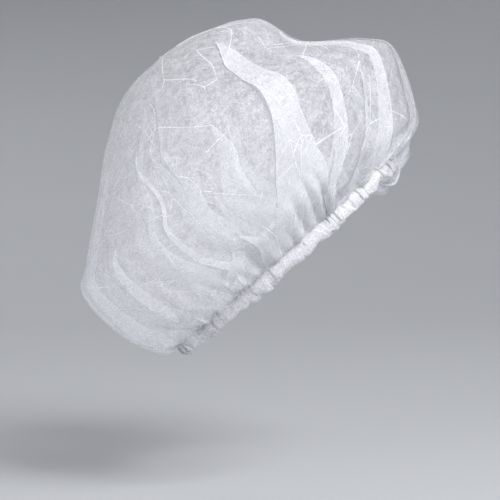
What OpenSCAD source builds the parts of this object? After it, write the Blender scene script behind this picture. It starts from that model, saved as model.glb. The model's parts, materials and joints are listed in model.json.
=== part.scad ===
// Disposable bouffant cap: one round sheet of thin non-woven fabric, gathered
// at its edge on a hidden loop of flat elastic. It is modelled as it is worn:
// +X points to the wearer's front, +Y to the wearer's left and +Z up. The
// origin is the centre of the head opening. Lengths are in millimetres.
//
// Most shapes are drawn in the opening's own plane, which slopes from a high
// front down to the nape: there x runs along the opening, z is the height
// above its plane, and the module worn() then tips it into place.

/* [Head opening] */
// Length of the opening from forehead to nape
opening_l = 212; // [200:1:224]
// Slope of the opening's plane, front end up
opening_tilt = 41.5; // [30:0.5:50]
// Radius of the loop at the forehead
front_r = 52; // [48:1:56]
// Radius of the loop at the nape
rear_r = 60; // [56:1:64]
// Radius of the loop along each side
side_r = 130; // [120:1:150]

/* [Crown] */
// Height of the crown above the plane of the opening
crown_h = 173; // [150:1:190]
// Distance that the front puff stands out past the opening
front_puff = 64; // [50:1:70]
// Distance that the rear bag hangs out past the opening
rear_puff = 28; // [20:1:36]
// Width of the crown across its widest part
crown_w = 224; // [200:1:240]
// Thickness of the fabric envelope, which stands for the sheet and its fine wrinkles
crown_wall = 1.2; // [0.8:0.1:2]

/* [Hem] */
// Width of the turned edge
hem_w = 9; // [8.5:0.5:12]
// Thickness of each gathered ply of the turned edge
hem_ply = 1.2; // [0.8:0.1:1.6]
// Gap between the two plies
hem_gap = 1.7; // [1.5:0.1:2]
// Depth from the turned edge up to the elastic
hem_turn = 1.5; // [1.4:0.1:2]
// Diameter of a weld dot
weld_d = 1.6; // [1.2:0.1:1.8]
// Spacing of the weld dots along the stretched hem
weld_pitch = 6; // [4:0.5:12]

/* [Elastic] */
// Width of the flat elastic
elastic_w = 5; // [4:0.5:5]
// Thickness of the flat elastic
elastic_t = 0.5; // [0.4:0.1:0.5]
// Length that the elastic's two ends overlap
splice_l = 14; // [8:1:20]

/* [Hidden] */
$fn = 128;

// The loop is four tangent arcs: front, two sides and rear.
front_x = opening_l / 2 - front_r;
rear_x = rear_r - opening_l / 2;
side_x = (front_x ^ 2 - rear_x ^ 2 + (side_r - rear_r) ^ 2 - (side_r - front_r) ^ 2)
       / (2 * (front_x - rear_x));
side_y = sqrt((side_r - front_r) ^ 2 - (front_x - side_x) ^ 2);
front_turn = atan2(side_y, front_x - side_x);
rear_turn = atan2(side_y, side_x - rear_x);
side_turn = 180 - front_turn - rear_turn;

// Each arc: [centre, radius, first angle, angle turned].
ARCS = [
    [[front_x, 0], front_r, -front_turn, 2 * front_turn],
    [[side_x, -side_y], side_r, front_turn, side_turn],
    [[rear_x, 0], rear_r, 180 - rear_turn, 2 * rear_turn],
    [[side_x, side_y], side_r, 180 + rear_turn, side_turn],
];

// Heights above the plane of the opening, which runs through the elastic's middle.
hem_low = -elastic_w / 2 - hem_turn;
hem_high = hem_low + hem_w;
weld_z = (elastic_w / 2 + hem_high) / 2;
// Clearance between pieces that lie against each other.
lap_gap = 0.02;

// Outlines of the crown from the hem (first point) to the middle of the sheet
// (last point): how far out, as a share of the reach given above, and how high.
FRONT_OUTLINE = [
    [0, 0], [0.50, 0.05], [0.83, 0.17], [1.00, 0.37], [0.73, 0.50],
    [0.16, 0.65], [-0.03, 0.86], [-0.69, 0.97], [-1.20, 1],
];
REAR_OUTLINE = [
    [0, 0], [0.48, 0.05], [1.00, 0.20], [0.94, 0.45], [0.36, 0.54],
    [-1.10, 0.70], [-2.43, 0.87], [-3.50, 0.98], [-4.82, 1],
];
SIDE_OUTLINE = [
    [0.68, 0], [0.85, 0.07], [0.96, 0.20], [1.00, 0.38], [0.96, 0.55],
    [0.84, 0.71], [0.63, 0.85], [0.33, 0.96], [0, 1],
];
around_n = 80;
rise_n = 27;
loop_n = 160;
// Share of the rise over which the crown takes the shape of the loop at its edge.
rim_blend = 0.12;

// Distance along the direction a from the origin to an arc grown outward by grow.
function arc_reach(arc, a, grow) =
    let (along = arc[0] * [cos(a), sin(a)])
    along + sqrt((arc[1] + grow) ^ 2 - arc[0] * arc[0] + along ^ 2);

// Direction, seen from the origin, of the point where an arc begins.
function arc_start(arc, grow) =
    atan2(arc[0][1] + (arc[1] + grow) * sin(arc[2]), arc[0][0] + (arc[1] + grow) * cos(arc[2]));

// Point of the loop, grown outward by grow, in the direction a from 0 to 360.
function loop_point(a, grow) =
    let (b = a > 180 ? 360 - a : a)
    let (arc = b < arc_start(ARCS[1], grow) ? 0 : b < arc_start(ARCS[2], grow) ? 1 : 2)
    arc_reach(ARCS[arc], b, grow) * [cos(a), sin(a)];

// Smooth curve through a list of points, t from 0 to 1.
function curve(points, t) =
    let (last = len(points) - 1)
    let (i = min(floor(t * last), last - 1))
    let (s = t * last - i)
    let (p0 = points[max(i - 1, 0)], p1 = points[i], p2 = points[i + 1], p3 = points[min(i + 2, last)])
    (2 * p1 + (p2 - p0) * s + (2 * p0 - 5 * p1 + 4 * p2 - p3) * s ^ 2
        + (3 * p1 - p0 - 3 * p2 + p3) * s ^ 3) / 2;

// The crown's outer surface before its edge is fitted to the loop: a is the
// direction round the opening and t runs from the hem to the sheet's middle.
function puff(a, t) =
    let (front = curve(FRONT_OUTLINE, t), rear = curve(REAR_OUTLINE, t), side = curve(SIDE_OUTLINE, t))
    let (front_u = opening_l / 2 + front[0] * front_puff, rear_u = -opening_l / 2 - rear[0] * rear_puff)
    let (f = max(cos(a), 0) ^ 2, r = max(-cos(a), 0) ^ 2, s = sin(a) ^ 2)
    [
        (front_u + rear_u) / 2 + (front_u - rear_u) / 2 * cos(a),
        side[0] * crown_w / 2 * sin(a),
        hem_high + (crown_h - hem_high) * (f * front[1] + r * rear[1] + s * side[1]),
    ];

// The outer surface with its edge on the outer ply of the hem.
function crown_point(a, t) =
    let (edge = loop_point((a + 360) % 360, hem_gap / 2 + hem_ply), start = puff(a, 0))
    let (near = max(1 - t / rim_blend, 0) ^ 2)
    puff(a, t) + near * [edge[0] - start[0], edge[1] - start[1], 0];

function unit(v) = v / norm(v);

// Outward direction of the crown's surface.
function crown_out(a, t) =
    let (da = 0.5, dt = 0.004)
    unit(cross(
        crown_point(a + da, t) - crown_point(a - da, t),
        crown_point(a, min(t + dt, 1)) - crown_point(a, max(t - dt, 0))
    ));

// The inner surface, one wall further in: straight in at the flat edge.
function lining_point(a, t) =
    let (out = crown_out(a, t))
    crown_point(a, t) - crown_wall * (t == 0 ? unit([out[0], out[1], 0]) : out);

module worn() {
    rotate([0, -opening_tilt, 0]) children();
}

// Sweeps a closed section round the loop. Each point of the section is its
// distance outside the loop and its height above the opening's plane, listed
// counter-clockwise with the outside to the right.
module round_loop(section) {
    sides = len(section);
    total = loop_n * sides;
    polyhedron(
        points = [for (i = [0:loop_n - 1]) for (corner = section)
            let (place = loop_point(i * 360 / loop_n, corner[0]))
            [place[0], place[1], corner[1]]],
        faces = [for (i = [0:loop_n - 1]) for (k = [0:sides - 1])
            let (here = i * sides, ahead = (here + sides) % total, up = (k + 1) % sides)
            each [
                [here + k, here + up, ahead + up],
                [here + k, ahead + up, ahead + k],
            ]],
        convexity = 4
    );
}

// The corners of an upright rectangle centred on the loop.
function strip(thick, high) = [
    [-thick / 2, -high / 2], [thick / 2, -high / 2], [thick / 2, high / 2], [-thick / 2, high / 2],
];

// The gathered sheet, as a thin open shell of its true outer shape.
module crown_sheet() {
    rings = [for (i = [0:rise_n - 1]) i / rise_n];
    outer = [for (t = rings) for (j = [0:around_n - 1]) crown_point(j * 360 / around_n, t)];
    inner = [for (t = rings) for (j = [0:around_n - 1]) lining_point(j * 360 / around_n, t)];
    top = crown_point(0, 1);
    half = len(outer);
    last = half - around_n;
    color("ghostwhite")
        worn()
            polyhedron(
                points = concat(outer, inner, [top, top - [0, 0, crown_wall]]),
                faces = concat(
                    [for (i = [0:rise_n - 2]) for (j = [0:around_n - 1])
                        let (k = i * around_n, n = (j + 1) % around_n)
                        each [
                            [k + j, k + around_n + n, k + n],
                            [k + j, k + around_n + j, k + around_n + n],
                            [half + k + j, half + k + n, half + k + around_n + n],
                            [half + k + j, half + k + around_n + n, half + k + around_n + j],
                        ]],
                    [for (j = [0:around_n - 1])
                        let (n = (j + 1) % around_n)
                        each [
                            [j, n, half + n],
                            [j, half + n, half + j],
                            [last + j, 2 * half, last + n],
                            [half + last + j, half + last + n, 2 * half + 1],
                        ]]
                ),
                convexity = 6
            );
}

// The sheet's edge, turned up inside itself: two plies with the elastic between.
module hem_tunnel() {
    inside = hem_gap / 2;
    outside = inside + hem_ply;
    fold_z = hem_low + hem_ply;
    color("white")
        worn()
            round_loop([
                [-outside, hem_low], [outside, hem_low], [outside, hem_high], [inside, hem_high],
                [inside, fold_z], [-inside, fold_z], [-inside, hem_high], [-outside, hem_high],
            ]);
}

// The loop of flat elastic, lying loose in the tunnel.
module elastic_band() {
    color("floralwhite")
        worn()
            round_loop(strip(elastic_t, elastic_w));
}

// The lap at the nape, where the elastic's second end is welded onto its first.
module elastic_splice() {
    lap_r = rear_r + elastic_t / 2 + lap_gap;
    lap_turn = splice_l / lap_r * 180 / PI;
    color("antiquewhite")
        worn()
            translate([rear_x, 0, 0])
                rotate([0, 0, 180 - lap_turn / 2])
                    rotate_extrude(angle = lap_turn)
                        translate([lap_r, -elastic_w / 2])
                            square([elastic_t, elastic_w]);
}

// Row of weld dots that joins the two plies above the elastic.
module hem_welds() {
    weld_l = hem_gap - 2 * lap_gap;
    color("lightgray")
        worn()
            for (arc = ARCS) {
                count = round(arc[1] * arc[3] * PI / 180 / weld_pitch);
                for (i = [0:count - 1])
                    translate([arc[0][0], arc[0][1], weld_z])
                        rotate([0, 0, arc[2] + (i + 0.5) * arc[3] / count])
                            translate([arc[1], 0, 0])
                                rotate([0, 90, 0])
                                    cylinder(h = weld_l, d = weld_d, center = true, $fn = 24);
            }
}

crown_sheet();
hem_tunnel();
elastic_band();
elastic_splice();
hem_welds();
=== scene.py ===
# %% [markdown]
# # A disposable bouffant cap
#
# The cap is one round sheet of spunbond non-woven cloth. Its edge is turned up round a loop of
# flat elastic, and the elastic gathers nearly two metres of edge into the length of a hat band.
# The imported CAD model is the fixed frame: it gives the place and the size of the elastic loop.
# This lesson draws the outline of the worn crown, cuts the flat round sheet, gathers it, lets it
# settle, and adds the turned hem and the weld dots. The elastic keeps its CAD shape and only gets
# a better material.

import bmesh
import bpy
import json
import math
import numpy as np
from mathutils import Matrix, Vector
from mathutils.kdtree import KDTree


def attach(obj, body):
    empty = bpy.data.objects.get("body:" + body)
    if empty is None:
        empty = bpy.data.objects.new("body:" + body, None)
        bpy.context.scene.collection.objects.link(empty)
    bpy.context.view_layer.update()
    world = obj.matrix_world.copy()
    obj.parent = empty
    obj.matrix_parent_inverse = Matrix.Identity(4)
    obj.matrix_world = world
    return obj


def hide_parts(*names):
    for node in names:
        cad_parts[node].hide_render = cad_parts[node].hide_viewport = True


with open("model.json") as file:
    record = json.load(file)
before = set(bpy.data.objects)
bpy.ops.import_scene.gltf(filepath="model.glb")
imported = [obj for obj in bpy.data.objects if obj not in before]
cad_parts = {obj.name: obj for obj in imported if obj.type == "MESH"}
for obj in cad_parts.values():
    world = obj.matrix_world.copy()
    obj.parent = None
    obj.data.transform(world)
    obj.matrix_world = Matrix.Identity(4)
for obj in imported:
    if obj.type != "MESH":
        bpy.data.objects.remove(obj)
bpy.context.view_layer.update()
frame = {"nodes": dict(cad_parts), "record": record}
MM = 0.001

# %% [markdown]
# ## The camera first
#
# The view is nearly level, from the wearer's right, through a long lens, so that the far side of
# the cap looks hardly smaller than the near side. The camera is placed by what it looks at, how
# much it should see across, and how steeply it looks down.

# %% Camera
VIEW_WIDTH = 380 * MM
AIM = Vector((-25 * MM, 0, 3 * MM))
CAMERA_TILT = math.radians(4)
LENS = 135
SENSOR = 36

camera_data = bpy.data.cameras.new("studio_camera")
camera_data.lens = LENS
camera_data.sensor_width = SENSOR
distance = VIEW_WIDTH * LENS / SENSOR
camera = bpy.data.objects.new("studio_camera", camera_data)
camera.location = AIM + distance * Vector((0, -math.cos(CAMERA_TILT), math.sin(CAMERA_TILT)))
camera.rotation_euler = (math.pi / 2 - CAMERA_TILT, 0, 0)
bpy.context.scene.collection.objects.link(camera)
bpy.context.scene.camera = camera
print("camera stands", round(distance, 3), "m away")

# %% [markdown]
# ## The loop of the head opening
#
# The elastic lies in a plane that slopes from the forehead down to the nape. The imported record
# says which way the opening faces, and the elastic's own mesh says how far the loop reaches in
# each direction. Everything gathered on the loop is drawn in that plane: `u` runs along the
# opening, `y` across it and `n` up from it, and `worn` tips the result into place.

# %% Read the loop from the frame
record = frame["record"]
opening = next(m for m in record["mounts"] if m["name"] == "head_opening")
out_of_opening = Vector(opening["axis"]).normalized()
slope = math.atan2(out_of_opening.x, -out_of_opening.z)
ALONG = np.array((math.cos(slope), 0, math.sin(slope)))
ACROSS = np.array((0, 1, 0))
UP = np.array((-math.sin(slope), 0, math.cos(slope)))


def corners(name):
    """The places of a CAD node's points, one row each."""
    mesh = frame["nodes"][name].data
    found = np.zeros(len(mesh.vertices) * 3)
    mesh.vertices.foreach_get("co", found)
    return found.reshape(-1, 3)


def worn(u, y, n):
    """Points of the opening's plane, tipped to the slope at which the cap is worn."""
    return u[:, None] * ALONG + y[:, None] * ACROSS + n[:, None] * UP


elastic = corners("elastic_band")
elastic_u, elastic_y = elastic @ ALONG, elastic @ ACROSS
elastic_turn = np.arctan2(elastic_y, elastic_u)
elastic_reach = np.hypot(elastic_u, elastic_y)
order = np.argsort(elastic_turn)
loop_turns = np.linspace(-math.pi, math.pi, 181)
loop_reach = np.interp(loop_turns, elastic_turn[order], elastic_reach[order], period=2 * math.pi)
HALF_LENGTH = float(elastic_u.max())
HALF_WIDTH = float(elastic_y.max())


def loop_point(a, outside=0.0):
    """Where the loop runs, in its own plane, in the direction a, moved out by `outside`."""
    reach = np.interp(a, loop_turns, loop_reach, period=2 * math.pi) + outside
    return reach * np.cos(a), reach * np.sin(a)


ring_u, ring_y = loop_point(loop_turns)
loop_length = float(np.hypot(np.diff(ring_u), np.diff(ring_y)).sum())
print("slope", round(math.degrees(slope), 1), "loop", round(loop_length, 4), "m round")
print("opening", round(2 * HALF_LENGTH, 4), "by", round(2 * HALF_WIDTH, 4))

# %% [markdown]
# ## The outline of the puffed crown
#
# A crown like this has no pattern pieces, only the shape that the air and the gathers give it. It
# is described by three outlines, all from the hem to the middle of the sheet: over the forehead,
# over the nape and over one ear. A few points carry each outline, a smooth curve joins them, and
# the curve is then measured so that equal steps along it are equal lengths of cloth. The crown
# is not the same all round: on the wearer's left the front puff droops past the brow.

# %% Outlines, in the plane of the opening
HEM_HIGH = float((corners("hem_tunnel") @ UP).max())
PLY = 0.15 * MM
SEAM = HEM_HIGH - 1.0 * MM

FRONT_OUTLINE = [
    (HALF_LENGTH + PLY, SEAM), (0.122, 0.005), (0.143, 0.009), (0.158, 0.031), (0.170, 0.066),
    (0.154, 0.086), (0.117, 0.111), (0.104, 0.148), (0.064, 0.168), (0.029, 0.174),
]
REAR_OUTLINE = [
    (-HALF_LENGTH - PLY, SEAM), (-0.118, 0.007), (-0.133, 0.033), (-0.134, 0.078), (-0.117, 0.094),
    (-0.079, 0.123), (-0.040, 0.154), (-0.008, 0.171), (0.029, 0.174),
]
SIDE_OUTLINE = [
    (HALF_WIDTH + PLY, SEAM), (0.083, 0.011), (0.099, 0.030), (0.110, 0.060), (0.110, 0.092),
    (0.099, 0.122), (0.074, 0.148), (0.038, 0.168), (0.0, 0.174),
]


def measured_curve(points, steps=24):
    """A smooth curve through the points, with the share of its length reached at each step."""
    p = np.array(points)
    ends = np.vstack((2 * p[0] - p[1], p, 2 * p[-1] - p[-2]))
    s = np.linspace(0, 1, steps, endpoint=False)[:, None]
    spans = []
    for a, b, c, d in zip(ends, ends[1:], ends[2:], ends[3:]):
        spans.append((2 * b + (c - a) * s + (2 * a - 5 * b + 4 * c - d) * s**2
                      + (3 * b - a - 3 * c + d) * s**3) / 2)
    line = np.vstack(spans + [p[-1:]])
    run = np.concatenate(((0,), np.hypot(*np.diff(line, axis=0).T).cumsum()))
    return run / run[-1], line, run[-1]


outlines = {name: measured_curve(points) for name, points in (
    ("front", FRONT_OUTLINE), ("rear", REAR_OUTLINE), ("side", SIDE_OUTLINE))}
for name, (_, _, length) in outlines.items():
    print(name, "outline is", round(length, 4), "m long")


def on_outline(name, t):
    """How far out and how high an outline is, where t runs from 0 at the hem to 1 at the middle."""
    run, line, _ = outlines[name]
    return np.interp(t, run, line[:, 0]), np.interp(t, run, line[:, 1])


def ease(x):
    """0 below 0, 1 above 1 and smooth between."""
    x = np.clip(x, 0, 1)
    return x * x * (3 - 2 * x)


EDGE_FIT = 0.15      # share of the height over which the crown takes the shape of the loop
DROOP = 31 * MM
DROOP_TURN = 0.68    # where the droop is deepest, and how far it reaches to either side, in radians
DROOP_REACH = 0.6
DROOP_START = 0.08   # share of the height at which the droop is full, and at which it has gone
DROOP_END = 0.42
DROOP_FADE = 0.3


def crown_form(a, t):
    """The unwrinkled crown in the opening's frame, at the turn a, where t is 0 at the hem."""
    front_u, front_n = on_outline("front", t)
    rear_u, rear_n = on_outline("rear", t)
    side_y, side_n = on_outline("side", t)
    ahead, behind = np.clip(np.cos(a), 0, 1)**2, np.clip(-np.cos(a), 0, 1)**2
    u = (front_u + rear_u) / 2 + (front_u - rear_u) / 2 * np.cos(a)
    y = side_y * np.sin(a)
    n = ahead * front_n + behind * rear_n + np.sin(a)**2 * side_n
    edge_u, edge_y = loop_point(a, PLY)
    start_u, start_y = HALF_LENGTH * np.cos(a), HALF_WIDTH * np.sin(a)
    fit = 1 - ease(t / EDGE_FIT)
    droop = DROOP * ease(1 - np.abs(a - DROOP_TURN) / DROOP_REACH)
    droop = droop * ease(t / DROOP_START) * ease((DROOP_END - t) / DROOP_FADE)
    return u + fit * (edge_u - start_u), y + fit * (edge_y - start_y), n - droop


# %% [markdown]
# ## The flat sheet
#
# The real sheet is a disc cut from a roll. A disc made of rings of nearly equal triangles folds
# equally well in every direction, which a fan or a square grid doesn't. It comes from a six-sided
# fan whose edges are divided evenly; each hexagonal ring is then rounded into a circle.

# %% Cut the round sheet
SHEET_ACROSS = 610 * MM
TURNING = 18 * MM
SHEET_RADIUS = SHEET_ACROSS / 2 - TURNING
RINGS = 84
SIXTH = math.pi / 3


def cut_disc(rings):
    """A flat disc of even triangles, as a bmesh one unit in radius."""
    bm = bmesh.new()
    bmesh.ops.create_circle(bm, cap_ends=True, cap_tris=True, segments=6, radius=1)
    bmesh.ops.subdivide_edges(bm, edges=bm.edges[:], cuts=rings - 1, use_grid_fill=True)
    bmesh.ops.triangulate(bm, faces=bm.faces[:])
    start = max((v.co for v in bm.verts), key=lambda co: co.length)
    first = math.atan2(start.y, start.x)
    for v in bm.verts:
        turn = (math.atan2(v.co.y, v.co.x) - first) % (2 * math.pi)
        within = turn % SIXTH
        out = v.co.xy.length * math.cos(within - SIXTH / 2) / math.cos(SIXTH / 2)
        along = math.sin(within) / (math.sin(within) + math.sin(SIXTH - within))
        turn = turn - within + along * SIXTH
        v.co = Vector((out * math.cos(turn), out * math.sin(turn), 0))
    return bm


disc = cut_disc(RINGS)
print("sheet", len(disc.verts), "points", len(disc.faces), "triangles")

# %% [markdown]
# ## Gathers and pleats
#
# The edge of the sheet is three times as long as the loop, so it has to fold over itself. Each
# fold is a knife pleat: the cloth runs on, turns back a little way and runs on again. A pleat runs
# straight up the sheet from the hem and closes at its own height, so a few wide ones reach the top
# of the crown and many small ones end just above the elastic. On every ring of the sheet the
# pleats together take up exactly the cloth that the ring doesn't need. The small ones grow first,
# up to a limit, and the main ones share the rest, so their bands keep nearly even widths. Points
# of the sheet that lie next to a fold are moved onto it, so that it comes out straight and sharp.

# %% Lay out the pleats
rng = np.random.default_rng(11)
PLEATS = [           # turn round the sheet, height at which it closes, width in mm, way it turns
    (0.626, 0.48, 11, 1), (0.652, 0.66, 4, -1), (0.675, 0.58, 9, 1), (0.701, 0.37, 5, 1),
    (0.731, 0.50, 24, 1), (0.812, 0.74, 36, -1), (0.878, 0.54, 11, 1), (0.912, 0.40, 5, -1),
]
SMALLEST_MAIN = 0.36     # pleats that close above this height are main ones
PLEAT_FADE = 0.16        # height over which a pleat closes
MOST_SWELL = 1.6         # how many times wider the small ones may grow
NARROWEST = 0.8          # in points of the ring: a narrower pleat is left unsnapped
FOLD_SLOPE = 0.2         # rise of a fold's edge off the crown, as a share of its width
FOLD_RISE = 1.1 * MM     # and at most
RIM_PUFF = 1.6           # how many times more the folds stand off just above the hem
RIM_PUFF_FULL = 0.03
RIM_PUFF_END = 0.17
RIM_PUFF_FADE = 0.12


def add_pleats(count, low, high, width, first=0.0, last=1.0):
    """Spreads pleats over part of the sheet's turn, each closing at a height between low and high."""
    for i in range(count):
        turn = first + (last - first) * (i + 0.5 + 0.35 * rng.uniform(-1, 1)) / count
        top = rng.uniform(low, high)
        PLEATS.append((turn % 1, top, width * rng.uniform(0.5, 1.5), rng.choice((-1, 1))))


add_pleats(15, 0.40, 0.98, 11.0, 0.93, 1.58)
add_pleats(17, 0.13, 0.24, 6.0)
add_pleats(37, 0.05, 0.14, 3.5)
PLEATS.sort()
pleat_turn, pleat_top, pleat_width, pleat_side = np.array(PLEATS).T
pleat_width = pleat_width * MM
print(len(PLEATS), "pleats")


def gather(turn, t, flat_length, worn_length):
    """For one ring: its points' places along it, their lift off it, and which lie on a fold."""
    fullness = max(flat_length / worn_length, 1.0)
    width = pleat_width * ease((pleat_top - t) / PLEAT_FADE)
    fold = np.zeros_like(turn)
    if width.sum() < 1e-6 or fullness < 1.001:      # no cloth to spare, so no pleats
        return turn, fold, fold
    spare = (flat_length - worn_length) / 2
    main = pleat_top >= SMALLEST_MAIN
    wide, small = width[main].sum(), width[~main].sum()
    swell = min(max(spare - wide, 0) / (small + 1e-9), MOST_SWELL)
    width = np.where(main, width * (spare - swell * small) / wide, width * swell) / flat_length
    start, stop = pleat_turn - width / 2, pleat_turn + width / 2
    points = len(turn)
    seat = np.rint(turn * points).astype(int) % points
    turn = turn.copy()
    for a, b in zip(start, stop):
        if (b - a) * points > NARROWEST:
            for edge in (a, b):
                here = seat == round(edge * points) % points
                turn[here] = edge + np.rint(turn[here] - edge)
                fold[here] = 1.0

    def turned_back(x):
        """How much of the sheet up to x runs back inside a pleat."""
        return sum(np.clip(x - a - k, 0, b - a) for a, b in zip(start, stop) for k in (-1, 0, 1))

    drift = fullness * (pleat_turn - 2 * turned_back(pleat_turn)) - pleat_turn
    place = fullness * (turn - 2 * turned_back(turn)) - drift.mean()
    knots = np.column_stack((start, stop)).ravel()
    puffed = 1 + RIM_PUFF * ease(t / RIM_PUFF_FULL) * ease((RIM_PUFF_END - t) / RIM_PUFF_FADE)
    rise = np.minimum(width * flat_length * FOLD_SLOPE, FOLD_RISE) * puffed * pleat_side
    heights = np.column_stack((rise, -rise)).ravel()
    return place, np.interp(turn, knots, heights, period=1), fold


# %% [markdown]
# The disc is moved onto the crown ring by ring. The place of a point along the ring comes from
# the pleats, and a point of a fold is also lifted off the crown, along its normal, so that the
# layers of the fold lie on each other and not in each other.

# %% Gather the sheet onto the crown
TURNS = np.linspace(0, 2 * math.pi, 721)


def ring_line(t):
    """The points of the crown's ring at height t, and the share of its length at each."""
    line = np.column_stack(crown_form(TURNS, t))
    run = np.concatenate(((0,), np.linalg.norm(np.diff(line, axis=0), axis=1).cumsum()))
    return line, run / run[-1], run[-1]


def gathered(points, rings):
    """Where the flat disc's points go on the crown, which way it faces, the lift and the folds."""
    out = np.hypot(points[:, 0], points[:, 1])
    ring = np.rint(out * rings).astype(int)
    turn = (np.arctan2(points[:, 1], points[:, 0]) / (2 * math.pi)) % 1
    place, facing = np.zeros((len(points), 3)), np.zeros((len(points), 3))
    lift, fold = np.zeros(len(points)), np.zeros(len(points))
    for i in range(rings + 1):
        here = ring == i
        t = 1 - i / rings
        line, run, length = ring_line(min(t, 1 - 1e-4))
        flat_length = 2 * math.pi * SHEET_RADIUS * i / rings
        share, lift[here], fold[here] = gather(turn[here], t, flat_length, length)
        above = ring_line(min(t + 0.5 / rings, 1 - 1e-4))[0]
        below = ring_line(max(t - 0.5 / rings, 0))[0]
        normal = np.cross(np.gradient(line, axis=0), above - below)
        normal /= np.linalg.norm(normal, axis=1)[:, None] + 1e-9
        for k in range(3):
            place[here, k] = np.interp(share, run, line[:, k], period=1)
            facing[here, k] = np.interp(share, run, normal[:, k], period=1)
    return place, facing, lift, fold


flat = np.array([v.co for v in disc.verts])
place, facing, lift, fold = gathered(flat, RINGS)
start_place = worn(*(place + facing * lift[:, None]).T)
print("gathered", start_place.min(0).round(3), start_place.max(0).round(3))

# %% [markdown]
# ## Let the cloth settle
#
# The gathered shape is tidy, and real cloth is not. Non-woven cloth hardly stretches: every
# distance in it wants to be what it was in the flat sheet, so cloth that was folded in too little
# buckles, and cloth that was pulled too far drags its neighbours along. Blender's own cloth
# takes its rest lengths from the shape it starts in, which here is the gathered one, so this
# cell runs a small cloth simulation of its own. Each step moves the points on as they were
# moving, then corrects the length of every edge. Edges that share no point are corrected
# together as one batch, which is what makes it quick. A second set of links, each across two
# triangles, resists bending, except along the pressed folds of the pleats.

# %% Links of the cloth
def batches(pairs, points):
    """Sorts links into batches in which no two links share a point."""
    used = [0] * points
    batch = np.zeros(len(pairs), int)
    for i, (a, b) in enumerate(pairs.tolist()):
        taken = used[a] | used[b]
        k = (~taken & (taken + 1)).bit_length() - 1
        used[a] |= 1 << k
        used[b] |= 1 << k
        batch[i] = k
    return [np.flatnonzero(batch == k) for k in range(batch.max() + 1)]


disc.verts.index_update()
edges = np.array([[v.index for v in e.verts] for e in disc.edges])
across = []
for e in disc.edges:
    if len(e.link_faces) == 2:
        across.append([next(v.index for v in f.verts if v not in e.verts) for f in e.link_faces])
across = np.array(across)
flat_sheet = flat * SHEET_RADIUS
inner = np.hypot(flat[:, 0], flat[:, 1]) < 1 - 1.5 / RINGS       # all but the two rings at the hem
spacing = SHEET_RADIUS / RINGS
print(len(edges), "stretch links", len(across), "bending links", round(spacing / MM, 2), "mm apart")

# %% Simulate the cloth
STEPS = 90
SWEEPS = 6           # times that all the lengths are corrected in one step
CARRY = 0.93         # share of its movement that a point keeps from step to step
GRAVITY = np.array((0, 0, -0.012)) * MM
STIFF_BEND = 0.25
CREASE_BEND = 0.01
FOLDED = 0.7         # a bending link this much shorter than in the flat sheet lies across a fold
PULL_BACK = 0.004    # pull towards the gathered shape


def settle(places):
    """The places after the simulation."""
    rest = np.linalg.norm(flat_sheet[edges[:, 0]] - flat_sheet[edges[:, 1]], axis=1)
    rest_across = np.linalg.norm(flat_sheet[across[:, 0]] - flat_sheet[across[:, 1]], axis=1)
    now_across = np.linalg.norm(places[across[:, 0]] - places[across[:, 1]], axis=1)
    bend = np.where(now_across < FOLDED * rest_across, CREASE_BEND, STIFF_BEND)
    jobs = [(edges[k], rest[k], 1.0) for k in batches(edges, len(places))]
    jobs += [(across[k], rest_across[k], bend[k][:, None]) for k in batches(across, len(places))]
    weight = inner.astype(float)[:, None]
    old, now = places.copy(), places.copy()
    for _ in range(STEPS):
        moved = (now - old) * CARRY
        old = now.copy()
        now = now + weight * (moved + GRAVITY + (places - now) * PULL_BACK)
        for _ in range(SWEEPS):
            for pair, length, stiffness in jobs:
                a, b = pair.T
                gap = now[b] - now[a]
                far = np.linalg.norm(gap, axis=1)
                both_loose = weight[a] + weight[b] > 1.5
                fix = gap * ((far - length) / (far + 1e-9) / 2)[:, None] * stiffness
                fix *= np.where(both_loose, 1.0, 2.0)
                now[a] += fix * weight[a]
                now[b] -= fix * weight[b]
    return now


settled = settle(start_place)
moved = np.linalg.norm(settled - start_place, axis=1) / MM
print("cloth moved", round(moved.mean(), 2), "mm on average and", round(moved.max(), 1), "at most")

# %% [markdown]
# The simulation says how the crown sags and buckles as a whole, but its own triangles are coarser
# than a pressed fold. So the part of its movement that is square to the crown is smoothed and
# carried over to a disc twice as fine, which is gathered afresh, and the pleats keep their
# straight edges. Packed flat, the cloth also took creases that all its layers share. They are
# drawn as shallow facets round points scattered through the crown: the difference between the
# squared distances to the two nearest ones grows evenly from a crease, half-way between them.
# Just above the hem the gathers stand up as round ridges.

# %% Sag, creases and ridges
SMOOTH_PASSES = 30
SAG = 0.5                # share of the simulation's sag that is kept
CREASE_SPACING = 38 * MM
CREASE_DEPTH = 0.075
CREASE_SQUEEZE = np.array((1.0, 1.0, 0.6))
CREASE_POINTS = 330
CREASE_ROOM = ((-0.17, -0.13, -0.01), (0.19, 0.13, 0.19))
FLUTES = 45
FLUTE_HEIGHT = 4.6 * MM
FLUTE_FOOT = 0.6         # share of a ridge's height that lies below the crown
FLUTE_LEAN = 5           # how far it leans on its way up
FLUTE_FULL = 0.015       # share of the crown's height at which it is full, and at which it ends
FLUTE_END = 0.15
FLUTE_FADE = 0.12
WANDER = ((0.5, 3, 1, 0), (0.8, 7, 2, 0), (0.6, 13, 0, 6))    # size, waves round, phase, lean
END_WAVES = ((0.05, 5, 0), (0.04, 11, 2))                     # size, waves round, phase
PLAIN_RIM = 0.12         # share of the height over which the packing creases set in


def smoothed(field):
    """One value per point, averaged with its neighbours again and again; the rim stays at 0."""
    a, b = edges.T
    near = np.bincount(edges.ravel(), minlength=len(flat))
    for _ in range(SMOOTH_PASSES):
        total = np.bincount(a, field[b], len(flat)) + np.bincount(b, field[a], len(flat))
        field = total / near * inner
    return field


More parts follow.
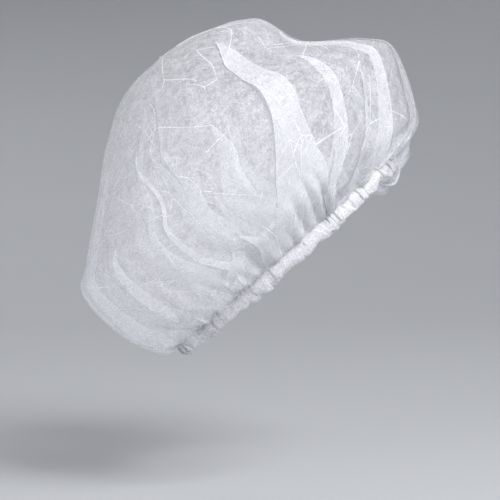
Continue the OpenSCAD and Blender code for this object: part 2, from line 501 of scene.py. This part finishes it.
def packing_folds(places):
    """The height of the creases left by packing, over places of the crown."""
    seeds = np.random.default_rng(5).uniform(*CREASE_ROOM, (CREASE_POINTS, 3))
    tree = KDTree(CREASE_POINTS)
    for i, seed in enumerate(seeds * CREASE_SQUEEZE):
        tree.insert(seed, i)
    tree.balance()
    height = np.zeros(len(places))
    for i, p in enumerate(places * CREASE_SQUEEZE):
        (_, _, first), (_, _, second) = tree.find_n(p, 2)
        height[i] = second * second - first * first
    return height / (2 * CREASE_SPACING) * CREASE_DEPTH


def flutes(places, t):
    """The height of the round ridges between the gathers, which run up from the hem and fade."""
    a = np.arctan2(places[:, 1], places[:, 0])
    wander = sum(size * np.sin(count * a + phase + lean * t) for size, count, phase, lean in WANDER)
    end = sum((size * np.sin(count * a + phase) for size, count, phase in END_WAVES), FLUTE_END)
    ridge = np.abs(np.sin(FLUTES * a / 2 + wander + FLUTE_LEAN * t)) - FLUTE_FOOT
    return FLUTE_HEIGHT * ridge * ease(t / FLUTE_FULL) * ease((end - t) / FLUTE_FADE)


sag = ((settled - start_place) * worn(*facing.T)).sum(axis=1)
sag = smoothed(sag) * SAG
print("the crown sags by up to", round(-sag.min() / MM, 1), "mm")

# %% Refine the cloth
SHARP = math.radians(50)


def link_mesh(name, bm):
    """A bmesh as a new object of the scene."""
    mesh = bpy.data.meshes.new(name)
    bm.to_mesh(mesh)
    bm.free()
    piece = bpy.data.objects.new(name, mesh)
    bpy.context.scene.collection.objects.link(piece)
    return piece


def refine(disc, sag):
    """Divides the flat disc once more and gathers it; returns places and folds of the fine disc."""
    carried = disc.verts.layers.float.new("sag")
    for v, value in zip(disc.verts, sag):
        v[carried] = value
    bmesh.ops.subdivide_edges(disc, edges=disc.edges[:], cuts=1, use_grid_fill=True)
    bmesh.ops.triangulate(disc, faces=[f for f in disc.faces if len(f.verts) > 3])
    fine = np.array([v.co for v in disc.verts])
    sag = np.array([v[carried] for v in disc.verts])
    disc.verts.layers.float.remove(carried)
    place, facing, lift, fold = gathered(fine, 2 * RINGS)
    t = 1 - np.hypot(fine[:, 0], fine[:, 1])
    out = lift + sag + packing_folds(place) * ease(t / PLAIN_RIM) + flutes(place, t)
    return worn(*(place + facing * out[:, None]).T), fold


crown_places, crown_folds = refine(disc, sag)
uv = disc.loops.layers.uv.new("sheet")
for face in disc.faces:
    face.smooth = True
    for corner in face.loops:
        corner[uv].uv = corner.vert.co.xy * SHEET_RADIUS
crown = link_mesh("crown", disc)
crown.data.vertices.foreach_set("co", crown_places.ravel())
crown.data.update()
pressed = crown.data.attributes.new("pressed", "FLOAT", "POINT")
pressed.data.foreach_set("value", crown_folds)
bm = bmesh.new()
bm.from_mesh(crown.data)
for e in bm.edges:
    e.smooth = e.calc_face_angle(0) < SHARP
bm.to_mesh(crown.data)
bm.free()
print("crown has", len(crown.data.polygons), "triangles")

# %% [markdown]
# ## The turned hem
#
# The edge of the sheet is turned up inside itself. It runs down outside the elastic, round under
# it and up behind it to the line of welds, and its raw edge stands free above them. It follows
# the same pleats as the crown, because it is the same cloth. It starts as one ring of edges,
# which is extruded once for each step across the hem.

# %% Turned hem
HEM_POINTS = 12 * RINGS
HEM_SECTION = [      # mm outside the loop, mm above its plane, shares of the pleat's lift and the dip
    (0.15, 4.2, 0.9, 0.0), (0.9, 3.1, 0.8, 0.0), (1.6, 1.4, 0.8, 0.1), (1.9, -0.6, 0.8, 0.3),
    (1.8, -2.4, 0.9, 0.6), (1.2, -3.8, 1.0, 0.9), (0.0, -4.5, 1.0, 1.0), (-1.1, -3.8, 1.0, 0.9),
    (-1.6, -2.4, 0.9, 0.6), (-1.7, -0.6, 0.8, 0.3), (-1.5, 1.4, 0.8, 0.1), (-0.9, 3.1, 0.8, 0.0),
    (-0.15, 4.2, 0.9, 0.0), (-0.9, 5.4, 1.2, 0.0),
]
HEM_DIP = 4.0 * MM       # how far the hem hangs below the elastic at most
HEM_PUFF = 0.5 * MM
HEM_LIFT = 0.7 * MM      # the pleats' lift is held to this, so that the elastic stays inside
PUCKER_SHIFT = 0.35      # turn of the puckers from one step across the hem to the next
PUCKERS = [(rng.integers(11, 95), rng.uniform(0, 2 * math.pi)) for _ in range(9)]


def pucker(turn, shift):
    """A wandering value between about -1 and 1 that closes on itself round the sheet."""
    waves = sum(np.sin(2 * math.pi * count * turn + phase + shift) for count, phase in PUCKERS)
    return waves / math.sqrt(len(PUCKERS))


hem_turn = np.arange(HEM_POINTS) / HEM_POINTS
_, rim_run, rim_length = ring_line(0.0)
hem_share, hem_lift, _ = gather(hem_turn, 0.0, 2 * math.pi * SHEET_RADIUS, rim_length)
hem_share = hem_share % 1
hem_lift = np.clip(hem_lift, -HEM_LIFT, HEM_LIFT)


def along_loop(share, outside):
    """Points of the loop in its plane, at shares of its length, moved out by `outside`."""
    a = np.interp(share, rim_run, TURNS)
    middle = np.array(loop_point(a))
    step = 0.01
    ahead, behind = np.array(loop_point(a + step)), np.array(loop_point(a - step))
    run = ahead - behind
    run /= np.linalg.norm(run, axis=0)
    return middle + np.array((run[1], -run[0])) * outside


def make_hem():
    """The turned edge as one strip of cloth, with its width."""
    bm = bmesh.new()
    seat = {}
    sheet_uv = bm.loops.layers.uv.new("sheet")
    bmesh.ops.create_circle(bm, segments=HEM_POINTS, radius=1)
    row = sorted(bm.verts, key=lambda v: math.atan2(v.co.y, v.co.x) % (2 * math.pi))
    dip = HEM_DIP * (1 + pucker(hem_turn, 0.0)) / 2
    width = 0.0
    for k, (outside, up, lift, drop) in enumerate(HEM_SECTION):
        if k:
            ring_edges = [e for e in bm.edges if e.verts[0] in live and e.verts[1] in live]
            made = bmesh.ops.extrude_edge_only(bm, edges=ring_edges)["geom"]
            fresh = [g for g in made if isinstance(g, bmesh.types.BMVert)]
            mate = {e.other_vert(v): v for v in fresh for e in v.link_edges
                    if e.other_vert(v) in live}
            row = [mate[v] for v in row]
            last = HEM_SECTION[k - 1]
            width += math.hypot(outside - last[0], up - last[1]) * MM
        live = set(row)
        puff = HEM_PUFF * pucker(hem_turn, PUCKER_SHIFT * k) * drop
        side = outside * MM + hem_lift * lift + puff
        plane = along_loop(hem_share, side)
        places = worn(plane[0], plane[1], up * MM - dip * drop)
        for j, v in enumerate(row):
            v.co = places[j]
            seat[v] = (j, width)
    round_sheet = 2 * math.pi * SHEET_RADIUS
    for face in bm.faces:
        face.smooth = True
        seats = [seat[c.vert][0] for c in face.loops]
        closes_ring = max(seats) - min(seats) > 1
        for c in face.loops:
            j, w = seat[c.vert]
            along = HEM_POINTS if closes_ring and j == 0 else j
            c[sheet_uv].uv = (along / HEM_POINTS * round_sheet, w)
    bmesh.ops.recalc_face_normals(bm, faces=bm.faces[:])
    return link_mesh("hem", bm), width


hem, hem_width = make_hem()
print("hem strip is", round(hem_width / MM, 1), "mm wide", len(hem.data.polygons), "faces")

# %% [markdown]
# ## The weld dots
#
# No thread holds the hem. A toothed wheel presses the two plies against a vibrating block, and
# each tooth melts a small round dot. Each dot is a small ball pressed flat, a little hollow in the
# middle, and set through both plies on the pinched line.

# %% Weld dots
WELD_SPOTS = 95
DOT_RADIUS = 0.8 * MM
DOT_HALF = 0.32 * MM     # half its thickness
DOT_DROP = 0.3 * MM      # below the seam
DOT_HOLLOW = 0.35


def make_dots():
    """One flattened bead for each weld, set through both plies of the hem."""
    bm = bmesh.new()
    turn = (np.arange(WELD_SPOTS) + 0.5) / WELD_SPOTS
    share, lift, _ = gather(turn, 0.0, 2 * math.pi * SHEET_RADIUS, rim_length)
    share = share % 1
    _, seam_up, seam_lift, _ = HEM_SECTION[0]
    middle = along_loop(share, lift * seam_lift)
    outer = along_loop(share, lift * seam_lift + MM)
    places = worn(middle[0], middle[1], np.full(WELD_SPOTS, seam_up * MM - DOT_DROP))
    faces_out = worn(*(outer - middle), np.zeros(WELD_SPOTS)) / MM
    for place, out in zip(places, faces_out):
        tip = Vector(out).to_track_quat("Z", "Y").to_matrix().to_4x4()
        tip.translation = Vector(place)
        bead = bmesh.ops.create_uvsphere(bm, u_segments=12, v_segments=6, radius=1)["verts"]
        for v in bead:
            hollowed = 1 - DOT_HOLLOW * (1 - min(v.co.xy.length, 1))
            v.co = Vector((v.co.x * DOT_RADIUS, v.co.y * DOT_RADIUS, v.co.z * DOT_HALF * hollowed))
        bmesh.ops.transform(bm, matrix=tip, verts=bead)
    for face in bm.faces:
        face.smooth = True
    return link_mesh("weld_dots", bm)


dots = make_dots()
print(WELD_SPOTS, "weld dots")

# %% [markdown]
# ## Materials
#
# Spunbond is a felt of fine plastic fibres that lie in every direction. What the eye sees is how
# many fibres there are at each spot: where they crowd the cloth is white, and where they are few
# one looks through. So one node group draws the fibres, as ridges of stretched noise turned to
# several directions, and the material uses them for how solid the cloth is and for its bump.
# A second group draws the creases that packing presses into the cloth: thin straight lines, where
# the fibres are crushed together and look whiter, with shallow facets between them.

# %% Small helpers for shader nodes
def new_group(name, inputs, outputs):
    """A shader node group with the named sockets; returns it with its input and output nodes."""
    group = bpy.data.node_groups.new(name, "ShaderNodeTree")
    for label, kind, value in inputs:
        made = group.interface.new_socket(label, in_out="INPUT", socket_type=kind)
        if value is not None:
            made.default_value = value
    for label, kind in outputs:
        group.interface.new_socket(label, in_out="OUTPUT", socket_type=kind)
    return group, group.nodes.new("NodeGroupInput"), group.nodes.new("NodeGroupOutput")


def node(tree, kind, links=(), **settings):
    """A new node with its settings, whose inputs are linked to sockets or set to values."""
    made = tree.nodes.new(kind)
    for key, value in settings.items():
        setattr(made, key, value)
    for name, value in dict(links).items():
        socket = made.inputs[name]
        if isinstance(value, bpy.types.NodeSocket):
            tree.links.new(value, socket)
        else:
            socket.default_value = value
    return made


def maths(tree, operation, a, b=0.0, clamp=False):
    """The output of one Math node."""
    made = node(tree, "ShaderNodeMath", {0: a, 1: b}, operation=operation, use_clamp=clamp)
    return made.outputs[0]


def new_material(name):
    """A material with its node tree and its Principled shader."""
    material = bpy.data.materials.new(name)
    material.use_nodes = True
    return material, material.node_tree, material.node_tree.nodes["Principled BSDF"]


# %% Fibres
FIBRE_WAYS = 5           # directions in which the fibres lie
FIBRE_BEND = 0.012       # how far they wander, in metres
FIBRE_THIN = 5.5         # how narrow a ridge is
FIBRE_FILL = 0.55        # share of the ways that has to add up for solid white
FIRST_WAY = 0.3          # turn of the first direction
NOISE_STEP = 7.0         # keeps the noise of one direction apart from the next


def fibres_group():
    """How thickly the fibres lie, as ridges of stretched noise turned to several directions."""
    group, given, result = new_group(
        "spunbond_fibres",
        [("Vector", "NodeSocketVector", None), ("Fibre Width", "NodeSocketFloat", 0.0008),
         ("Fibre Length", "NodeSocketFloat", 0.02)],
        [("Fibres", "NodeSocketFloat"), ("Cloudiness", "NodeSocketFloat")],
    )
    place = given.outputs["Vector"]
    warp = node(group, "ShaderNodeTexNoise", {"Vector": place, "Scale": 55.0, "Detail": 1.0})
    centred = node(group, "ShaderNodeVectorMath", {0: warp.outputs["Color"], 1: (0.5, 0.5, 0.5)},
                   operation="SUBTRACT")
    bend = node(group, "ShaderNodeVectorMath",
                {0: centred.outputs[0], 1: (FIBRE_BEND, FIBRE_BEND, 0.0)}, operation="MULTIPLY")
    curved = node(group, "ShaderNodeVectorMath", {0: place, 1: bend.outputs[0]}, operation="ADD")
    across = maths(group, "DIVIDE", 1.0, given.outputs["Fibre Width"])
    along = maths(group, "DIVIDE", 1.0, given.outputs["Fibre Length"])
    stretch = node(group, "ShaderNodeCombineXYZ", {"X": along, "Y": across, "Z": 1.0})
    total = None
    for k in range(FIBRE_WAYS):
        turned = node(group, "ShaderNodeVectorRotate",
                      {"Vector": curved.outputs[0], "Angle": k * math.pi / FIBRE_WAYS + FIRST_WAY},
                      rotation_type="Z_AXIS")
        drawn = node(group, "ShaderNodeVectorMath", {0: turned.outputs[0], 1: stretch.outputs[0]},
                     operation="MULTIPLY")
        lines = node(group, "ShaderNodeTexNoise",
                     {"Vector": drawn.outputs[0], "Scale": 1.0, "Detail": 0.0, "W": NOISE_STEP * k},
                     noise_dimensions="4D")
        off = maths(group, "ABSOLUTE", maths(group, "SUBTRACT", lines.outputs["Fac"], 0.5))
        ridge = maths(group, "SUBTRACT", 1.0, maths(group, "MULTIPLY", off, FIBRE_THIN), True)
        ridge = maths(group, "POWER", ridge, 2.0)
        total = ridge if total is None else maths(group, "ADD", total, ridge)
    spread = maths(group, "MULTIPLY", total, 1 / (FIBRE_FILL * FIBRE_WAYS), True)
    group.links.new(spread, result.inputs["Fibres"])
    cloud = node(group, "ShaderNodeTexNoise", {"Vector": place, "Scale": 160.0, "Detail": 3.0})
    group.links.new(cloud.outputs["Fac"], result.inputs["Cloudiness"])
    return group


FIBRES = fibres_group()
print("fibres are drawn by", len(FIBRES.nodes), "nodes")

# %% Packing creases
CREASE_SETS = (      # turn of the cells, how they are stretched, share of their lines left out
    (0.2, (1.0, 0.45, 1.0), 0.47),
    (1.3, (0.6, 1.5, 1.0), 0.50),
)
CREASE_END = 12.0    # how abruptly a line ends


def creases_group():
    """Straight creases along the borders of stretched cells, and the shallow facets between them."""
    group, given, result = new_group(
        "packing_creases",
        [("Vector", "NodeSocketVector", None), ("Cell Size", "NodeSocketFloat", 0.05),
         ("Line Width", "NodeSocketFloat", 0.0006)],
        [("Lines", "NodeSocketFloat"), ("Facets", "NodeSocketFloat")],
    )
    size = maths(group, "DIVIDE", 1.0, given.outputs["Cell Size"])
    width = maths(group, "MULTIPLY", given.outputs["Line Width"], size)
    total, facets = None, None
    for turn, stretch, left_out in CREASE_SETS:
        turned = node(group, "ShaderNodeVectorRotate",
                      {"Vector": given.outputs["Vector"], "Angle": turn}, rotation_type="Z_AXIS")
        drawn = node(group, "ShaderNodeVectorMath", {0: turned.outputs[0], 1: stretch},
                     operation="MULTIPLY")
        cells = node(group, "ShaderNodeTexVoronoi", {"Vector": drawn.outputs[0], "Scale": size},
                     feature="DISTANCE_TO_EDGE", voronoi_dimensions="2D")
        near = maths(group, "DIVIDE", cells.outputs["Distance"], width)
        line = maths(group, "SUBTRACT", 1.0, near, True)
        mask = node(group, "ShaderNodeTexNoise",
                    {"Vector": drawn.outputs[0], "Scale": 24.0, "Detail": 0.0})
        seen = maths(group, "SUBTRACT", mask.outputs["Fac"], left_out)
        line = maths(group, "MULTIPLY", line, maths(group, "MULTIPLY", seen, CREASE_END, True))
        facet = cells.outputs["Distance"]
        total = line if total is None else maths(group, "MAXIMUM", total, line)
        facets = facet if facets is None else maths(group, "ADD", facets, facet)
    group.links.new(total, result.inputs["Lines"])
    group.links.new(facets, result.inputs["Facets"])
    return group


CREASES = creases_group()
print("creases are drawn by", len(CREASES.nodes), "nodes")

# %% Cloth material
CREASE_WHITE = 0.50      # how much more solid the cloth is on a crease, and on a pressed fold
FOLD_WHITE = 0.30
DULL = 0.90              # brightness between the fibres
FIBRE_RELIEF = 0.25      # heights of the relief, in one and the same unit
CREASE_RELIEF = 0.8
FACET_RELIEF = 9.0


def cloth_material(name, tint, thin, thick, roughness):
    """Spunbond cloth; thin and thick are how solid it is between the fibres and on them."""
    material, tree, shader = new_material(name)
    sheet = node(tree, "ShaderNodeUVMap", uv_map="sheet").outputs["UV"]
    fibre = node(tree, "ShaderNodeGroup", node_tree=FIBRES)
    tree.links.new(sheet, fibre.inputs["Vector"])
    crease = node(tree, "ShaderNodeGroup", node_tree=CREASES)
    tree.links.new(sheet, crease.inputs["Vector"])
    solid = node(tree, "ShaderNodeMapRange",
                 {"Value": fibre.outputs["Fibres"], "From Min": 0.15, "From Max": 0.95,
                  "To Min": thin, "To Max": thick})
    cloud = node(tree, "ShaderNodeMapRange",
                 {"Value": fibre.outputs["Cloudiness"], "From Min": 0.3, "From Max": 0.7,
                  "To Min": -0.07, "To Max": 0.09})
    alpha = maths(tree, "ADD", solid.outputs[0], cloud.outputs[0])
    creased = maths(tree, "MULTIPLY", crease.outputs["Lines"], CREASE_WHITE)
    alpha = maths(tree, "ADD", alpha, creased)
    folds = node(tree, "ShaderNodeAttribute", attribute_name="pressed").outputs["Fac"]
    edge = maths(tree, "POWER", folds, 3.0)
    alpha = maths(tree, "ADD", alpha, maths(tree, "MULTIPLY", edge, FOLD_WHITE), True)
    tree.links.new(alpha, shader.inputs["Alpha"])
    dull = tuple(c * DULL for c in tint[:3]) + (1,)
    colour = node(tree, "ShaderNodeMix", {"Factor": fibre.outputs["Fibres"], 6: dull, 7: tint},
                  data_type="RGBA")
    tree.links.new(colour.outputs[2], shader.inputs["Base Color"])
    rough = node(tree, "ShaderNodeMapRange",
                 {"Value": fibre.outputs["Fibres"],
                  "To Min": roughness + 0.12, "To Max": roughness - 0.08})
    tree.links.new(rough.outputs[0], shader.inputs["Roughness"])
    height = maths(tree, "ADD", maths(tree, "MULTIPLY", fibre.outputs["Fibres"], FIBRE_RELIEF),
                   maths(tree, "MULTIPLY", crease.outputs["Lines"], CREASE_RELIEF))
    facets = maths(tree, "MULTIPLY", crease.outputs["Facets"], FACET_RELIEF)
    height = maths(tree, "ADD", height, facets)
    bump = node(tree, "ShaderNodeBump", {"Height": height, "Strength": 0.35, "Distance": 0.0004})
    tree.links.new(bump.outputs[0], shader.inputs["Normal"])
    shader.inputs["Specular IOR Level"].default_value = 0.35
    shader.inputs["Sheen Weight"].default_value = 0.25
    shader.inputs["Sheen Roughness"].default_value = 0.5
    return material


WHITE = (0.90, 0.90, 0.94, 1)
crown.data.materials.append(cloth_material("spunbond_sheet", WHITE, 0.05, 0.46, 0.62))
hem.data.materials.append(cloth_material("spunbond_hem", WHITE, 0.16, 0.60, 0.60))
print("cloth materials on", crown.name, "and", hem.name)

# %% [markdown]
# The elastic is a ribbon of rubber threads bound side by side, so it has fine ribs along its
# length. The welds are melted plastic: smoother, a little glassy and slightly darker than the
# white felt round them.

# %% Elastic and weld materials
RIB_SPACING = 0.8 * MM


def elastic_material():
    """Rubber threads bound side by side, with fine ribs along the band."""
    material, tree, shader = new_material("ribbed_elastic")
    place = node(tree, "ShaderNodeTexCoord").outputs["Object"]
    height = node(tree, "ShaderNodeVectorMath", {0: place, 1: tuple(UP)}, operation="DOT_PRODUCT")
    phase = maths(tree, "MULTIPLY", height.outputs["Value"], 2 * math.pi / RIB_SPACING)
    ribs = maths(tree, "SINE", phase)
    grain = node(tree, "ShaderNodeTexNoise", {"Vector": place, "Scale": 900.0, "Detail": 3.0})
    # The colour follows the ribs' bump, darker in the grooves between them: painted shade in the
    # grooves, over a random grain of tone.
    mixed = maths(tree, "ADD", maths(tree, "MULTIPLY", ribs, 0.35), grain.outputs["Fac"])
    colour = node(tree, "ShaderNodeMix",
                  {"Factor": mixed, 6: (0.74, 0.73, 0.70, 1), 7: (0.90, 0.89, 0.86, 1)},
                  data_type="RGBA")
    tree.links.new(colour.outputs[2], shader.inputs["Base Color"])
    rough = node(tree, "ShaderNodeMapRange",
                 {"Value": grain.outputs["Fac"], "To Min": 0.55, "To Max": 0.8})
    tree.links.new(rough.outputs[0], shader.inputs["Roughness"])
    bump = node(tree, "ShaderNodeBump", {"Height": mixed, "Strength": 0.6, "Distance": 0.0002})
    tree.links.new(bump.outputs[0], shader.inputs["Normal"])
    return material


def weld_material():
    """Plastic that has melted and set again."""
    material, tree, shader = new_material("melted_weld")
    place = node(tree, "ShaderNodeTexCoord").outputs["Object"]
    pits = node(tree, "ShaderNodeTexNoise", {"Vector": place, "Scale": 2200.0, "Detail": 2.0})
    colour = node(tree, "ShaderNodeMix",
                  {"Factor": pits.outputs["Fac"], 6: (0.70, 0.72, 0.77, 1), 7: (0.86, 0.87, 0.91, 1)},
                  data_type="RGBA")
    tree.links.new(colour.outputs[2], shader.inputs["Base Color"])
    rough = node(tree, "ShaderNodeMapRange",
                 {"Value": pits.outputs["Fac"], "To Min": 0.28, "To Max": 0.5})
    tree.links.new(rough.outputs[0], shader.inputs["Roughness"])
    bump = node(tree, "ShaderNodeBump",
                {"Height": pits.outputs["Fac"], "Strength": 0.5, "Distance": 0.0001})
    tree.links.new(bump.outputs[0], shader.inputs["Normal"])
    return material


ELASTIC = elastic_material()
for name in ("elastic_band", "elastic_splice"):
    frame["nodes"][name].data.materials.clear()
    frame["nodes"][name].data.materials.append(ELASTIC)
dots.data.materials.append(weld_material())
print(len(bpy.data.materials), "materials so far")

# %% [markdown]
# ## The studio
#
# The floor curves up all round into a wall, so that no horizon shows from any side. One large
# soft light stands high in front. A weaker one beside it softens the shadows, a third behind the
# cap draws its edge, and the pale room does the rest. The cap hangs where a head would carry it,
# so the floor lies well below it.

# %% Floor and light
FLOOR_LEVEL = -0.178
FLOOR_FLAT = 1.2
COVE_RADIUS = 2.6
COVE_STEPS = 12
WALL_TOP = 3.2


def make_cove():
    """A flat floor with a rounded edge and a wall, spun from one line."""
    bm = bmesh.new()
    line = [bm.verts.new((0, 0, FLOOR_LEVEL)), bm.verts.new((FLOOR_FLAT, 0, FLOOR_LEVEL))]
    for k in range(1, COVE_STEPS + 1):
        a = k / COVE_STEPS * math.pi / 2
        rise = FLOOR_LEVEL + COVE_RADIUS * (1 - math.cos(a))
        line.append(bm.verts.new((FLOOR_FLAT + COVE_RADIUS * math.sin(a), 0, rise)))
    line.append(bm.verts.new((FLOOR_FLAT + COVE_RADIUS, 0, WALL_TOP)))
    profile = [bm.edges.new(pair) for pair in zip(line, line[1:])]
    bmesh.ops.spin(bm, geom=line + profile, cent=(0, 0, 0), axis=(0, 0, 1), angle=2 * math.pi,
                   steps=96, use_merge=True, dvec=(0, 0, 0))
    bmesh.ops.remove_doubles(bm, verts=bm.verts[:], dist=1e-5)
    bmesh.ops.recalc_face_normals(bm, faces=bm.faces[:])
    for face in bm.faces:
        face.smooth = True
    return link_mesh("studio_floor", bm)


floor = make_cove()
floor_material, _, floor_shader = new_material("pale_floor")
floor_shader.inputs["Base Color"].default_value = (0.52, 0.53, 0.55, 1)
floor_shader.inputs["Roughness"].default_value = 0.9
floor_shader.inputs["Specular IOR Level"].default_value = 0.1
floor.data.materials.append(floor_material)

world = bpy.data.worlds.new("studio_air")
world.use_nodes = True
background = world.node_tree.nodes["Background"]
background.inputs["Color"].default_value = (0.93, 0.95, 1.0, 1)
background.inputs["Strength"].default_value = 0.32
bpy.context.scene.world = world


def soft_light(name, place, size, watts):
    """A square area light that faces the cap."""
    data = bpy.data.lights.new(name, "AREA")
    data.energy = watts
    data.size = size
    lamp = bpy.data.objects.new(name, data)
    lamp.location = place
    lamp.rotation_euler = (Vector(place) - AIM).to_track_quat("Z", "Y").to_euler()
    bpy.context.scene.collection.objects.link(lamp)


soft_light("key", (1.0, -1.3, 1.6), 1.0, 54)
soft_light("fill", (-1.5, -1.7, 0.5), 1.2, 17)
soft_light("back", (-0.6, 1.8, 1.5), 1.2, 9)
bpy.context.scene.cycles.transparent_max_bounces = 64
bpy.context.scene.view_settings.view_transform = "Standard"
print("floor at", FLOOR_LEVEL, "m")

# %% [markdown]
# ## Hand the pieces over
#
# Every piece rides on the one body of the cap. The crown, the hem and the dots stand for their
# plain CAD solids.

for piece, stands_for, slot in (
    (crown, "crown_sheet", "nonwoven_sheet"),
    (hem, "hem_tunnel", "nonwoven_hem"),
    (dots, "hem_welds", "weld_dots"),
):
    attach(piece, "root")
    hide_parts(stands_for)
